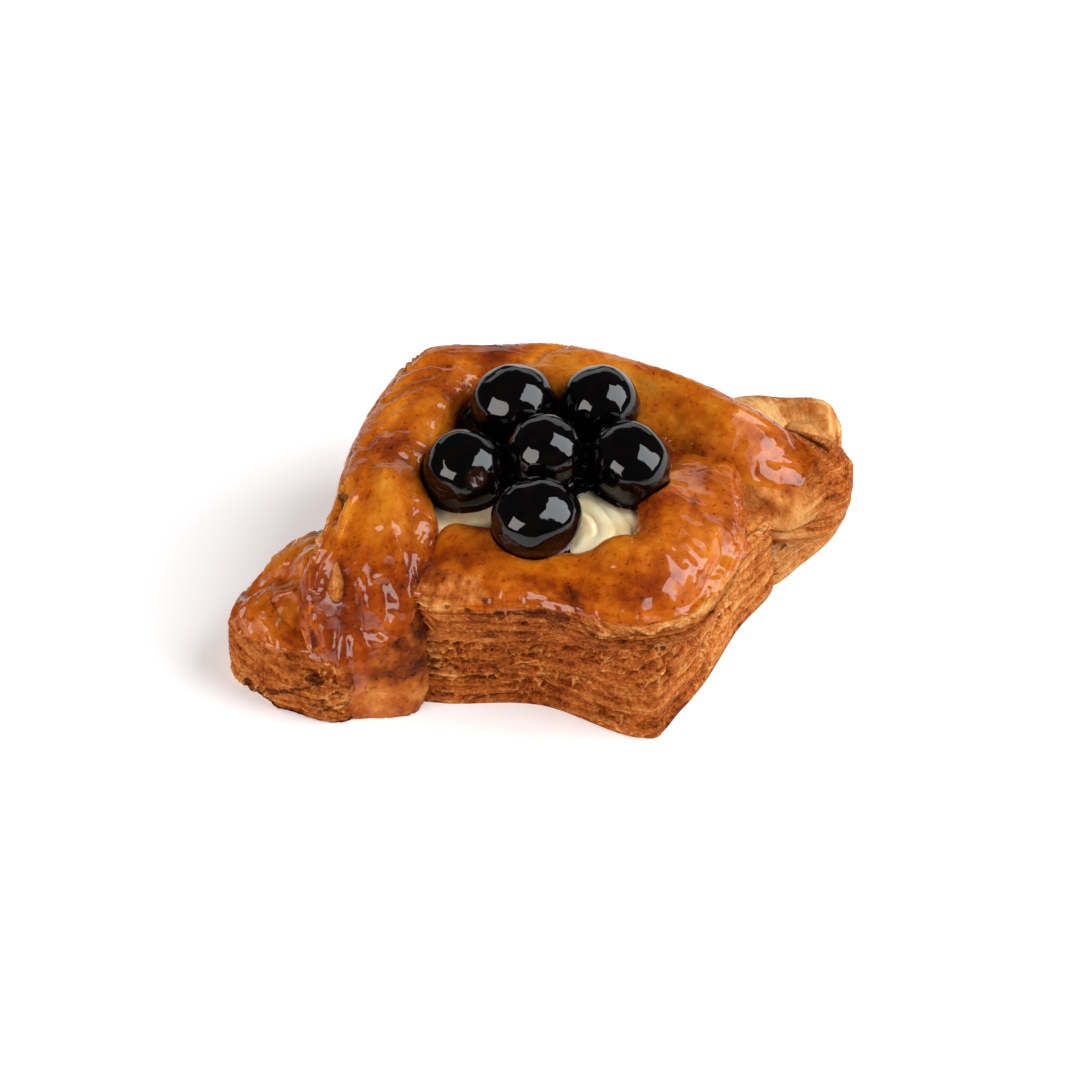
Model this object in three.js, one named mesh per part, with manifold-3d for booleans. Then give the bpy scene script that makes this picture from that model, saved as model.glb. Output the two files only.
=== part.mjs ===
// A danish pastry of the crossed-strip kind: a square of laminated dough whose two
// L-shaped border strips are folded over each other to frame a well of custard and
// glazed black cherries. Millimetres, +Z up, +X along the long diagonal.
import * as THREE from "three";
import { mergeVertices } from "three/addons/utils/BufferGeometryUtils.js";
import Module from "manifold-3d";

const wasm = await Module();
wasm.setup();

// ---------- driving dimensions ----------
const ORIGIN = [4.85, 0.95]; // middle of the whole pastry's box in the frame the shapes are laid out in
const LAYER = 2.6; // pitch of the main dough layers that show at the cut sides
const RELIEF = 0.6; // how far a main layer stands proud of the gap beside it
const GAP = 0.35; // clearance kept between separate pieces
const FINE = { step: 2.8, sides: 26, grow: 0 }; // sections of a strip: spacing, points round it, enlargement
const CUTTER = { step: 7, sides: 14, grow: 1 }; // plainer and larger, to cut what lies against a strip
const CUSTARD_LEVEL = 29; // height of the custard at the rim of the well
const CUSTARD_CROWN = 1.8; // how much higher the custard stands in the middle

// The base and the two tails: corners as x, y and the height of the upper edge there.
const BASE = [
  [-44, -6, 19], [-31, -17.5, 19], [-13, -27, 20], [1.5, -43.5, 26], [16.2, -37.5, 26],
  [31.3, -26.3, 24], [44.5, -17.8, 21], [46, -2, 17], [39, 14, 19], [21, 33, 21],
  [-3, 44, 22], [-21, 32, 20], [-38, 14, 18],
];
const LEFT_TAIL = [
  [-38, -9, 19], [-26, -4, 20], [-28, 12, 22], [-39, 19.5, 24], [-50, 18.5, 22], [-60, 14.5, 19],
  [-63.8, 7, 18], [-62, -2, 16], [-56.4, -9.2, 15], [-48.5, -14.5, 16],
];
const RIGHT_TAIL = [
  [42, -18, 15], [52, -15.7, 15], [61.8, -11.6, 15], [67.6, -6, 15], [69.5, 2, 17], [69, 9, 17],
  [60, 16, 16], [44, 14, 17], [36, 6, 17], [34, -8, 17],
];

// The two border strips as stations: x, y, z of a section's middle, its width across,
// its thickness, and how far it is rolled about the strip's own line, in degrees.
const BACK_STRIP = [
  [-41.8, -10, -4, 21, 14, 0],
  [-41.2, -8.8, 8, 22, 15, 0],
  [-40.4, -6.2, 18.5, 26, 14, -8],
  [-37.3, -1.5, 26.5, 23, 14, -6],
  [-31.8, 6.4, 29, 18.5, 15, 0],
  [-24.2, 18.2, 28.7, 18, 15, 0],
  [-14, 29.2, 28.2, 17, 15, 0],
  [-3.2, 37.2, 28, 17, 15, 0],
  [5.4, 34.6, 27, 16, 15, 0],
  [16.2, 28.3, 27.5, 17, 15, 0],
  [25.8, 20.3, 27.6, 17.5, 15, 0],
  [33.3, 10.6, 27.4, 18, 16, 0],
  [39.5, 0.2, 26, 20, 18, 0],
  [46, -7.5, 20.5, 23, 20, 0],
  [53.5, -8, 15.5, 25, 20, 0],
  [58.3, -4.8, 15, 22, 20, 0],
  [62.6, -1.2, 15.5, 19, 17, 0],
];
const FRONT_STRIP = [
  [-53.5, 9.5, 10, 16, 15, 0],
  [-46.5, 9.8, 15.8, 21, 16, 0],
  [-39, 1.5, 20, 20, 14, 0],
  [-28.8, -10.5, 23.5, 17.5, 14.5, 0],
  [-17.2, -17, 24, 17, 15, 0],
  [-7.3, -22.5, 24.5, 17, 14.5, 0],
  [1.6, -30.8, 26.3, 19.5, 13.5, 0],
  [9.6, -33.6, 26.8, 19.5, 13.5, 0],
  [18.6, -28, 26.5, 18, 14, 0],
  [26.3, -18, 25, 18, 14, 0],
  [32, -7, 23, 18, 13, 0],
  [42, 4.5, 17, 18, 13, 0],
  [55.5, 11, 11, 22, 14, 0],
  [64, 9, 9.4, 20, 13, 0],
  [72, 4.5, 12, 16, 11, 0],
];

// Cherries: x, y, z of the middle, then half of the width, depth and height.
const CHERRIES = [
  [3.7, 19.6, 35, 8.7, 8.4, 8.2],
  [19.2, 12, 35, 8.1, 8.1, 8],
  [-12.8, 7.7, 34, 8.3, 8.3, 8.2],
  [2.6, 3.1, 36.4, 7.8, 7.8, 7.6],
  [16.6, -5.7, 35, 8, 9, 8.3],
  [-6.4, -11.5, 35.3, 9.1, 8.2, 7.6],
];
const PITTED_CHERRY = 2; // the one that lies with its pit hole to the front
const PIT_HOLE = { radius: 1.5, toward: [-0.05, -0.86, 0.5] };

const CUSTARD_OUTLINE = [
  [-28, -4], [-16, -13], [-4, -22], [6, -26], [15, -22], [23, -10], [28, 2], [24, 14],
  [12, 24], [0, 30], [-11, 24], [-22, 10],
];

// ---------- small maths ----------
const smooth = (lo, hi, x) => THREE.MathUtils.smoothstep(x, lo, hi);
const span = (count, make) => Array.from({ length: count }, (_, k) => make(k));

// Catmull-Rom value of a list of equal-length rows at u, counted in rows.
function spline(rows, u, closed = false) {
  const n = rows.length;
  const i = Math.floor(closed ? u : Math.min(Math.max(u, 0), n - 1 - 1e-9));
  const f = u - i;
  const row = (k) => rows[closed ? ((k % n) + n) % n : Math.min(Math.max(k, 0), n - 1)];
  const [a, b, c, d] = [row(i - 1), row(i), row(i + 1), row(i + 2)];
  return b.map((_, k) => {
    const slope0 = (c[k] - a[k]) / 2;
    const slope1 = (d[k] - b[k]) / 2;
    const rise = c[k] - b[k];
    return b[k] + f * slope0 + f * f * (3 * rise - 2 * slope0 - slope1)
      + f * f * f * (slope0 + slope1 - 2 * rise);
  });
}

// A gentle unevenness made of three sine waves, within about -1 and 1.
function uneven(a, b, seed) {
  return (Math.sin(a * 0.31 + seed) + Math.sin(b * 0.43 + 2 * seed + a * 0.17)
    + Math.sin((a + b) * 0.23 + 3 * seed)) / 3;
}

// A rounded rib for each main layer, by the level counted in layers: below zero in the
// gap between two layers and above on a crest.
function rib(level) {
  return Math.abs(Math.sin(Math.PI * level)) - 0.6;
}

// ---------- solids ----------
// A closed surface from rings of equally many points. Each end ring is closed by a pole.
function loft(rings, startPole, endPole) {
  const around = rings[0].length;
  const positions = [...rings.flat(), startPole, endPole].flat();
  const index = [];
  for (let i = 0; i + 1 < rings.length; i++)
    for (let j = 0; j < around; j++) {
      const a = i * around + j;
      const b = i * around + ((j + 1) % around);
      index.push(a, b, b + around, a, b + around, a + around);
    }
  const start = rings.length * around;
  const last = start - around;
  for (let j = 0; j < around; j++) {
    const k = (j + 1) % around;
    index.push(start, k, j, start + 1, last + j, last + k);
  }
  const geometry = new THREE.BufferGeometry();
  geometry.setAttribute("position", new THREE.Float32BufferAttribute(positions, 3));
  geometry.setIndex(index);
  return geometry;
}

function solid(geometry) {
  const bare = geometry.clone();
  bare.deleteAttribute("normal");
  bare.deleteAttribute("uv");
  const merged = mergeVertices(bare, 1e-4);
  return new wasm.Manifold(new wasm.Mesh({
    numProp: 3,
    vertProperties: merged.attributes.position.array,
    triVerts: new Uint32Array(merged.index.array),
  }));
}

function geometryOf(manifold) {
  const mesh = manifold.getMesh();
  const geometry = new THREE.BufferGeometry();
  geometry.setAttribute("position", new THREE.BufferAttribute(mesh.vertProperties, 3));
  geometry.setIndex(new THREE.BufferAttribute(mesh.triVerts, 1));
  geometry.computeVertexNormals();
  return geometry;
}

// A boolean can shed scraps: the piece itself is the largest body.
function largest(manifold) {
  return manifold.decompose().sort((a, b) => b.volume() - a.volume())[0];
}

// ---------- strips of dough ----------
// The section's frame at each station: its middle, and the vectors from there to its left
// side and to its top, each as long as half the width or half the thickness.
function stationFrames(stations) {
  const points = stations.map((row) => new THREE.Vector3(...row));
  return stations.map(([x, y, z, wide, high, roll], k) => {
    const next = points[Math.min(k + 1, points.length - 1)];
    const along = next.clone().sub(points[Math.max(k - 1, 0)]).normalize();
    const side = new THREE.Vector3(-along.y, along.x, 0).normalize();
    const top = new THREE.Vector3().crossVectors(along, side);
    const turn = THREE.MathUtils.degToRad(roll);
    side.applyAxisAngle(along, turn).multiplyScalar(wide / 2);
    top.applyAxisAngle(along, turn).multiplyScalar(high / 2);
    return [x, y, z, ...side, ...top];
  });
}

// A strip carried along its stations: squarish sections with rounded corners, the main
// layers as ribs on the side that was cut, and ends that round off. The cut side is to
// the left of the way the stations run where cutSide is 1, and to the right where -1.
function strip(stations, cutSide, seed, { step, sides, grow }) {
  const frames = stationFrames(stations);
  const fine = 400;
  const rows = span(fine + 1, (k) => spline(frames, (k / fine) * (frames.length - 1)));
  const run = [0];
  for (let k = 1; k <= fine; k++)
    run.push(run[k - 1] + Math.hypot(...[0, 1, 2].map((c) => rows[k][c] - rows[k - 1][c])));
  const length = run[fine];
  const count = Math.round(length / step);
  const squareness = 2.9;
  const rings = [];
  let at = 0;
  for (let i = 1; i < count; i++) {
    const s = (i / count) * length;
    while (run[at + 1] < s) at++;
    const f = (s - run[at]) / (run[at + 1] - run[at]);
    const row = rows[at].map((v, c) => v + f * (rows[at + 1][c] - v));
    const [middle, side, top] = [0, 3, 6].map((c) => row.slice(c, c + 3));
    const halfWide = Math.hypot(...side);
    const halfHigh = Math.hypot(...top);
    const nearEnd = Math.min(1, Math.min(s, length - s) / halfHigh);
    const closing = (1 - (1 - nearEnd) ** squareness) ** (1 / squareness);
    rings.push(span(sides, (j) => {
      const turn = (j / sides) * 2 * Math.PI;
      const angle = turn - 0.22 * Math.sin(2 * turn);
      const c = Math.cos(angle);
      const t = Math.sin(angle);
      const r = (Math.abs(c) ** squareness + Math.abs(t) ** squareness) ** (-1 / squareness);
      const cut = smooth(0.45, 0.8, c * cutSide);
      const out = cut * RELIEF * rib((r * t * halfHigh) / LAYER) + 0.35 * uneven(s, 12 * angle, seed) + grow;
      const across = c * (r + out / halfWide) * closing;
      const up = t * (r + out / halfHigh) * closing;
      return middle.map((v, k) => v + across * side[k] + up * top[k]);
    }));
  }
  return solid(loft(rings, rows[0].slice(0, 3), rows[fine].slice(0, 3)));
}

// ---------- base, tails and custard ----------
// A slab that stands on z = 0 inside a closed outline of x, y and height: a wall that
// leans in and whose main layers fan out where it is higher, a rounded shoulder, and a
// crown that rises to the middle.
function slab(outline, { lean = 0, shoulder, crown, around, layered = true, seed = 1 }) {
  const [cx, cy, ch] = [0, 1, 2].map((c) => outline.reduce((m, p) => m + p[c], 0) / outline.length);
  const reach = outline.reduce((m, p) => m + Math.hypot(p[0] - cx, p[1] - cy), 0) / outline.length;
  // each row: inset from the outline, share of the wall's height, rise above the wall
  const layerCount = layered ? Math.round((ch - shoulder) / LAYER) : 0.5;
  const wallRows = 2 * layerCount;
  const bends = Math.max(2, Math.round(shoulder / 1.6));
  const profile = [
    [0.45 * reach, 0, 0],
    ...span(wallRows + 1, (k) => [lean * (k / wallRows), k / wallRows, 0]),
    ...span(bends, (k) => {
      const turn = ((k + 1) / bends) * 0.5 * Math.PI;
      return [lean + shoulder * (1 - Math.cos(turn)), 1, shoulder * Math.sin(turn)];
    }),
    [lean + shoulder + 0.5 * (reach - shoulder), 1, shoulder + 0.7 * crown],
  ];
  const rings = profile.map(([inset, share, rise], row) => span(around, (j) => {
    const [ox, oy, height] = spline(outline, (j / around) * outline.length, true);
    const far = Math.hypot(ox - cx, oy - cy);
    const z = share * (height - shoulder) + rise;
    const flank = row > 0 && layered ? 1 - smooth(0.3 * shoulder, 0.8 * shoulder, inset - lean) : 0;
    const level = share * layerCount + rise / LAYER;
    const out = flank * RELIEF * rib(level) + 0.35 * uneven(j * 2.1, z, seed);
    const r = far * (1 - inset / reach) + out;
    return [cx + ((ox - cx) / far) * r, cy + ((oy - cy) / far) * r, z];
  }));
  return solid(loft(rings, [cx, cy, 0], [cx, cy, ch + crown]));
}

function cherry([x, y, z, wide, deep, tall], { sides, rings, grow }) {
  return solid(new THREE.SphereGeometry(1, sides, rings)
    .rotateX(Math.PI / 2)
    .scale(wide + grow, deep + grow, tall + grow)
    .translate(x, y, z));
}

// ---------- the pastry ----------
let pastry = slab(BASE, { lean: 1.2, shoulder: 3, crown: 0.5, around: 72, seed: 1 });
pastry = pastry.add(slab(LEFT_TAIL, { shoulder: 9, crown: 2, around: 42, seed: 2 }));
pastry = pastry.add(slab(RIGHT_TAIL, { shoulder: 9, crown: 2, around: 40, seed: 3 }));
pastry = pastry.add(strip(BACK_STRIP, 1, 4, FINE));
pastry = pastry.add(strip(FRONT_STRIP, -1, 5, FINE));
pastry = pastry.trimByPlane([0, 0, 1], 0);

const sockets = CHERRIES.map((c) => cherry(c, { sides: 12, rings: 8, grow: 2 * GAP }));
sockets.forEach((c) => { pastry = pastry.subtract(c); });
pastry = largest(pastry);

// ---------- the custard ----------
const rim = CUSTARD_OUTLINE.map(([x, y]) => [x, y, CUSTARD_LEVEL]);
const floor = slab(BASE, { shoulder: 3, crown: 0.5, around: 24, layered: false });
let custard = slab(rim, { shoulder: 2, crown: CUSTARD_CROWN, around: 36, layered: false });
custard = custard.subtract(floor.translate([0, 0, 2 * GAP]));
custard = custard.subtract(strip(BACK_STRIP, 1, 4, CUTTER));
custard = custard.subtract(strip(FRONT_STRIP, -1, 5, CUTTER));
sockets.forEach((c) => { custard = custard.subtract(c); });
custard = largest(custard);

// ---------- the cherries ----------
const cherries = CHERRIES.map((c) => cherry(c, { sides: 16, rings: 10, grow: 0 }));
const holed = CHERRIES[PITTED_CHERRY];
const hole = new THREE.SphereGeometry(PIT_HOLE.radius, 12, 8)
  .translate(...PIT_HOLE.toward.map((v, k) => holed[k] + v * holed[3 + k]));
cherries[PITTED_CHERRY] = cherries[PITTED_CHERRY].subtract(solid(hole));

// ---------- the part ----------
const group = new THREE.Group();
group.position.set(-ORIGIN[0], -ORIGIN[1], 0);

function place(name, body, color, roughness) {
  const mesh = new THREE.Mesh(geometryOf(body), new THREE.MeshStandardMaterial({ color, roughness, metalness: 0 }));
  mesh.name = name;
  group.add(mesh);
}

place("pastry", pastry, 0xb8651f, 0.35);
place("custard", custard, 0xe8d3a0, 0.4);
cherries.forEach((body, k) => place(`cherry_${k + 1}`, body, 0x120c0e, 0.12));

export default group;
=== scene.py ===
# A danish pastry of the crossed-strip kind, dressed for close views: laminated dough with
# two L-shaped border strips folded over each other, custard and glazed black cherries.
import math

import bpy
import numpy as np
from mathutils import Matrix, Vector


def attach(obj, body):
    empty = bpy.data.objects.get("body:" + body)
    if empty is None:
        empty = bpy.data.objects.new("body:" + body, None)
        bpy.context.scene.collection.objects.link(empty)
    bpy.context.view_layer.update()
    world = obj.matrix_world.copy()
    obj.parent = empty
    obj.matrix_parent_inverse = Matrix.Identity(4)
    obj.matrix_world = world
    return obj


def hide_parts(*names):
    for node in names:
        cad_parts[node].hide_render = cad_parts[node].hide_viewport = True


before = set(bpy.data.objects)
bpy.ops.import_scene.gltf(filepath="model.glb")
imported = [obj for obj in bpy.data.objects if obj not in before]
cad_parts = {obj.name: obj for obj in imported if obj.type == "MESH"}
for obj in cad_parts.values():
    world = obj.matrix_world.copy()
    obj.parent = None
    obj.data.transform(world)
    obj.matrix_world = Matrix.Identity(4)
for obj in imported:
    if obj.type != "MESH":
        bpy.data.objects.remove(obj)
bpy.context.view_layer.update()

# ---------- camera ----------
# A product shot from above and a little to the left: a 100 mm lens on a 36 mm sensor,
# 600 mm away, looking down at 45 degrees.
ORIGIN = np.array([4.85, 0.95, 0])  # middle of the pastry's box in the frame of the outlines
AIM = (-ORIGIN[0] / 1000, -ORIGIN[1] / 1000, 0.016)
DISTANCE = 0.6
TURN, TILT = math.radians(-26), math.radians(45)

camera = bpy.data.objects.new("camera", bpy.data.cameras.new("camera"))
bpy.context.collection.objects.link(camera)
bpy.context.scene.camera = camera
camera.data.lens = 100
camera.data.sensor_width = 36
camera.data.clip_start, camera.data.clip_end = 0.05, 20
camera.location = (
    AIM[0] + DISTANCE * math.sin(TURN) * math.cos(TILT),
    AIM[1] - DISTANCE * math.cos(TURN) * math.cos(TILT),
    AIM[2] + DISTANCE * math.sin(TILT),
)
camera.rotation_euler = (math.pi / 2 - TILT, 0, TURN)
bpy.context.scene.view_settings.view_transform = "Standard"

# ---------- base ----------
# The square of laminated dough that carries everything. Its cut walls show the butter
# layers, which puffed into ribs, torn pockets and thin membranes in the oven. Sizes and
# places are in millimetres.
LAYER = 2.6  # pitch of the main dough layers
RIB = 0.36  # how far a main layer stands proud of the gap beside it
STEP = 0.37  # spacing of the points on a fine surface
DOMING = 1.7  # a top rises to its middle as 1 - (1 - w)^DOMING
BASE = np.array([
    [-44, -6, 19], [-31, -17.5, 19], [-13, -27, 20], [1.5, -43.5, 26], [16.2, -37.5, 26],
    [31.3, -26.3, 24], [44.5, -17.8, 21], [46, -2, 17], [39, 14, 19], [21, 33, 21],
    [-3, 44, 22], [-21, 32, 20], [-38, 14, 18],
])
# Each cherry's middle and half sizes, and their mean half size.
CHERRIES = np.array([
    [3.7, 19.6, 35, 8.7, 8.4, 8.2], [19.2, 12, 35, 8.1, 8.1, 8],
    [-12.8, 7.7, 34, 8.3, 8.3, 8.2], [2.6, 3.1, 36.4, 7.8, 7.8, 7.6],
    [16.6, -5.7, 35, 8, 9, 8.3], [-6.4, -11.5, 35.3, 9.1, 8.2, 7.6],
])
CHERRY_RADIUS = 8.3


def smooth(low, high, x):
    """The smoothstep ramp: 0 up to low, 1 from high, and 3t^2 - 2t^3 between them."""
    t = np.clip((x - low) / (high - low), 0, 1)
    return t * t * (3 - 2 * t)


def within(rise, full, fall, gone, x):
    """0 up to rise, 1 from full to fall and 0 again from gone."""
    return smooth(rise, full, x) * (1 - smooth(fall, gone, x))


def spot(*terms):
    """A soft spot, exp of minus the sum of ((value - middle) / width)^2, where each term
    holds a value, its middle and its width."""
    return np.exp(-sum(((value - middle) / width) ** 2 for value, middle, width in terms))


def noise(x, y, z=0.0, seed=0):
    """Smooth random heights within -1 and 1: seeded values at the corners of unit cells,
    blended along each axis by the ease 6f^5 - 15f^4 + 10f^3."""
    values = np.random.default_rng(seed).uniform(-1, 1, (32, 32, 32))
    x, y, z = np.broadcast_arrays(x, y, z)
    whole = [np.floor(c).astype(int) for c in (x, y, z)]
    part = [c - w for c, w in zip((x, y, z), whole)]
    ease = [f ** 3 * (f * (6 * f - 15) + 10) for f in part]
    total = np.zeros(x.shape)
    for corner in np.ndindex(2, 2, 2):
        share = np.ones(x.shape)
        for side, e in zip(corner, ease):
            share = share * (e if side else 1 - e)
        i, j, k = ((w + side) % 32 for w, side in zip(whole, corner))
        total += share * values[i, j, k]
    return total


def cells(x, y, seed):
    """A net of cells round one seeded point in each unit square: the distance to the
    nearest point, and how much further the second nearest is, which is 0 on the net."""
    points = np.random.default_rng(seed).uniform(0.1, 0.9, (64, 64, 2))
    i, j = np.floor(x).astype(int), np.floor(y).astype(int)
    first, second = np.full(x.shape, 9.0), np.full(x.shape, 9.0)
    for di, dj in np.ndindex(3, 3):
        at = points[(i + di - 1) % 64, (j + dj - 1) % 64]
        far = np.hypot(i + di - 1 + at[..., 0] - x, j + dj - 1 + at[..., 1] - y)
        second = np.minimum(second, np.maximum(first, far))
        first = np.minimum(first, far)
    return first, second - first


def spline(rows, u, closed=False):
    """The Catmull-Rom curve through rows at u, counted in rows: between two rows, the
    cubic whose slope at each is half the step from the row before to the row after."""
    n = len(rows)
    i = np.floor(u).astype(int) if closed else np.clip(np.floor(u).astype(int), 0, n - 2)
    f = (u - i)[:, None]
    a, b, c, d = (rows[(i + k) % n if closed else np.clip(i + k, 0, n - 1)] for k in (-1, 0, 1, 2))
    slope0, slope1, rise = (c - a) / 2, (d - b) / 2, c - b
    squared, cubed = 3 * rise - 2 * slope0 - slope1, slope0 + slope1 - 2 * rise
    return b + f * slope0 + f ** 2 * squared + f ** 3 * cubed


def distance(points):
    """How far each of a line's points is from its first, measured along the line."""
    return np.concatenate([[0], np.cumsum(np.linalg.norm(np.diff(points, axis=0), axis=1))])


def read(rows, run, at):
    """Rows of numbers that stand at the distances run, read at other distances."""
    return np.stack([np.interp(at, run, column) for column in rows.T], axis=1)


def slab(outline, lean, shoulder, crown, step=STEP, top_step=STEP):
    """A slab on z = 0 inside a closed outline of x, y and height. Going up: a wall that
    leans in by lean, a quarter circle of radius shoulder, then a top that domes up by
    crown over w, the share of the way in to the middle. Returns the grid of points, and
    for each the distance round, the level in layers and the inset."""
    n = len(outline)
    fine = spline(outline, np.linspace(0, n, 40 * n + 1), closed=True)
    run = distance(fine[:, :2])
    along = np.linspace(0, run[-1], round(run[-1] / step), endpoint=False)
    rim = read(fine, run, along)
    cx, cy, ch = outline.mean(axis=0)
    reach = np.hypot(outline[:, 0] - cx, outline[:, 1] - cy).mean()
    rows = round((ch - shoulder) / step)
    bends = max(4, round(shoulder * math.pi / 2 / step))
    tops = round((reach - lean - shoulder) / top_step)
    share = np.concatenate([[0, 0], np.linspace(0, 1, rows + 1), np.ones(bends + tops)])
    turn = np.linspace(0, math.pi / 2, bends + 1)[1:]
    w = np.linspace(0, 0.97, tops + 1)[1:]
    inset = np.concatenate([
        [0.6 * reach, 0.3 * reach], lean * np.linspace(0, 1, rows + 1),
        lean + shoulder * (1 - np.cos(turn)), lean + shoulder + w * (reach - lean - shoulder),
    ])
    rise = np.concatenate([
        np.zeros(rows + 3), shoulder * np.sin(turn),
        shoulder + crown * (1 - (1 - w) ** DOMING),
    ])
    middle = np.concatenate([np.zeros(rows + 3 + bends), smooth(0.3, 1, w)])
    share, inset, rise, middle = (c[:, None] for c in (share, inset, rise, middle))
    far = np.hypot(rim[:, 0] - cx, rim[:, 1] - cy)
    z = share * (rim[:, 2] - shoulder) + rise
    z = z * (1 - middle) + (ch + crown) * middle
    scale = 1 - inset / reach
    grid = np.stack([cx + (rim[:, 0] - cx) * scale, cy + (rim[:, 1] - cy) * scale, z], axis=-1)
    level = share * round((ch - shoulder) / LAYER) + rise / LAYER
    shape = grid.shape[:2]
    return grid, *(np.broadcast_to(c, shape) for c in (along, level, inset - lean))


def outward(grid):
    """Unit normals of a closed grid of rings: the cross product of the steps along and
    around, turned to the side that leads away from the rings' middles."""
    around = np.roll(grid, -1, axis=1) - np.roll(grid, 1, axis=1)
    normal = np.cross(around, np.gradient(grid, axis=0))
    normal /= np.linalg.norm(normal, axis=-1, keepdims=True) + 1e-9
    away = grid - grid.mean(axis=1, keepdims=True)
    return normal * np.sign((normal * away).sum(axis=-1).mean())


def layered(along, level, seed, openness=0.0):
    """Relief of a cut side, from the distance along it and the level in layers: a rib
    |sin| for each layer on wavering levels, layers that stand out differently, three
    faint leaves in each, pockets torn inside the cells of a stretched net whose threads
    stay as pale membranes, and round crumb pores. Returns how far it stands out, how
    hollow it is, how burnt the edges are, and how much darker each spot is painted:
    partly how much further it baked, partly painted shade in the grooves, leaf lines
    and pores and painted light on the ribs and proud layers."""
    wavy = level + 0.3 * noise(along / 13, level / 2, seed, 11)
    wavy += 0.12 * noise(along / 4, level * 1.3, seed, 12)
    main = np.abs(np.sin(math.pi * wavy)) ** 0.7
    ledge = noise(along / 12, np.floor(wavy) * 1.9, seed, 9)
    leaf = 3 * wavy + 0.6 * noise(along / 5, level * 2, seed, 13)
    seam = np.abs(np.sin(math.pi * leaf)) ** 0.5
    seam *= smooth(-0.6, 0.4, noise(along / 6, level, seed, 10))
    bent = along / 4.2 + 0.6 * noise(along / 3, level, seed, 14)
    _, web = cells(bent, wavy * 1.1 + seed, 15)
    torn = smooth(0.2, 0.36, noise(along / 9, wavy / 1.1, seed, 16) + openness)
    pocket, rim = torn * smooth(0.05, 0.25, web), torn * (1 - smooth(0.02, 0.14, web))
    _, net = cells(along / 1.15 + 0.4 * noise(along, level * 2, seed, 17), wavy * 3.0, 18)
    crumb = smooth(0.05, 0.4, net) * smooth(-0.2, 0.5, noise(along / 4, wavy * 1.4, seed, 19))
    grain = noise(along / 0.9, level * LAYER / 0.75, seed, 20)
    out = RIB * (main - 0.75) + 0.35 * ledge + 0.14 * (seam - 0.6)
    out = out - 0.8 * pocket - 0.3 * crumb + 0.1 * grain + 0.15 * rim
    burnt = noise(along / 8, wavy * 0.9, seed, 21) + 0.35 * noise(along / 2, wavy * 3, seed, 22)
    burnt = smooth(0.5, 0.66, burnt) * (1 - smooth(0.3, 0.6, seam))
    # Painted shade and light: darker in the grooves between ribs, at the recessed leaf lines and
    # in the crumb pores, paler on the ribs, the proud layers and the raised grain; the pale pocket
    # rims are the dough's own membranes.
    layer_bake_and_shade = 0.16 * (0.7 - main) - 0.08 * ledge + 0.06 * (0.6 - seam)
    layer_bake_and_shade = layer_bake_and_shade - 0.34 * rim - 0.06 * pocket + 0.1 * crumb - 0.07 * grain
    return out, np.maximum(pocket, 0.5 * crumb), burnt, layer_bake_and_shade


def skin(along, across, seed):
    """Relief of the uncut dough skin: slow swellings, creases drawn out along the piece
    and a fine pucker."""
    crease = 1 - np.abs(noise(along / 12, across / 3.0, seed, 31))
    return (
        0.5 * noise(along / 8, across / 6.5, seed, 30)
        - 0.16 * smooth(0.86, 1, crease)
        - 0.1 * smooth(0.84, 1, 1 - np.abs(noise(along / 6, across / 1.5, seed, 34)))
        + 0.2 * noise(along / 3.4, across / 2, seed, 32)
        + 0.05 * noise(along / 1.3, across / 1.0, seed, 33)
    )


def traced(grid, points):
    """The distance from each point of the grid to a smooth line through a few points,
    and the share of the line's length at the nearest spot."""
    points = np.array(points, float)
    line = spline(points, np.linspace(0, len(points) - 1, 8 * (len(points) - 1) + 1))
    best, share = np.full(grid.shape[:-1], 99.0), np.zeros(grid.shape[:-1])
    close = np.all((grid > line.min(axis=0) - 6) & (grid < line.max(axis=0) + 6), axis=-1)
    near = grid[close]
    if len(near):
        far, at = np.full(len(near), 99.0), np.zeros(len(near))
        for k, (a, b) in enumerate(zip(line[:-1], line[1:])):
            t = np.clip((near - a) @ (b - a) / ((b - a) @ (b - a)), 0, 1)
            gap = np.linalg.norm(near - a - t[:, None] * (b - a), axis=1)
            at = np.where(gap < far, (k + t) / (len(line) - 1), at)
            far = np.minimum(gap, far)
        best[close], share[close] = far, at
    return best, share


def folded(grid, folds):
    """How far folds lift the grid: each fold is a line of points, half its width and
    its height, and falls off as exp(-(distance / half width)^2) and to its ends."""
    lift = np.zeros(grid.shape[:-1])
    stray = 0.35 * noise(*(grid[..., k] / 2.2 for k in range(3)), 36)
    for points, half, height in folds:
        far, share = traced(grid, points)
        fade = smooth(0, 0.15, share) * smooth(0, 0.15, 1 - share)
        lift += height * fade * np.exp(-(((far + stray) / half) ** 2))
    return lift


def scorched(grid, marks):
    """How burnt lines on the grid are, 0 to 1: each mark is a line of points, half its
    width and its strength, broken up by noise."""
    burn = np.zeros(grid.shape[:-1])
    x, y, z = (grid[..., k] for k in range(3))
    broken = smooth(-0.5, 0.3, noise(x / 1.7, y / 1.7, z / 0.8, 37))
    stray = 0.25 * noise(x / 1.1, y / 1.1, z / 1.1, 38)
    for points, half, strength in marks:
        far, _ = traced(grid, points)
        near = 1 - smooth(0.6 * half, 1.3 * half, far + stray)
        burn = np.maximum(burn, strength * broken * near)
    return burn


def holed(along, up, holes):
    """Depth share 0 to 1 of round-cornered holes in a wall: each hole is its place along
    and up, and half its length and height."""
    x = along + 0.5 * noise(along / 1.6, up / 1.6, 0, 39)
    y = up + 0.35 * noise(along / 1.6, up / 1.6, 5, 39)
    depth = np.zeros(along.shape)
    for at, high, long, tall in holes:
        far = np.hypot((x - at) / long, (y - high) / tall)
        depth = np.maximum(depth, 1 - smooth(0.55, 1.05, far))
    return depth


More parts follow.
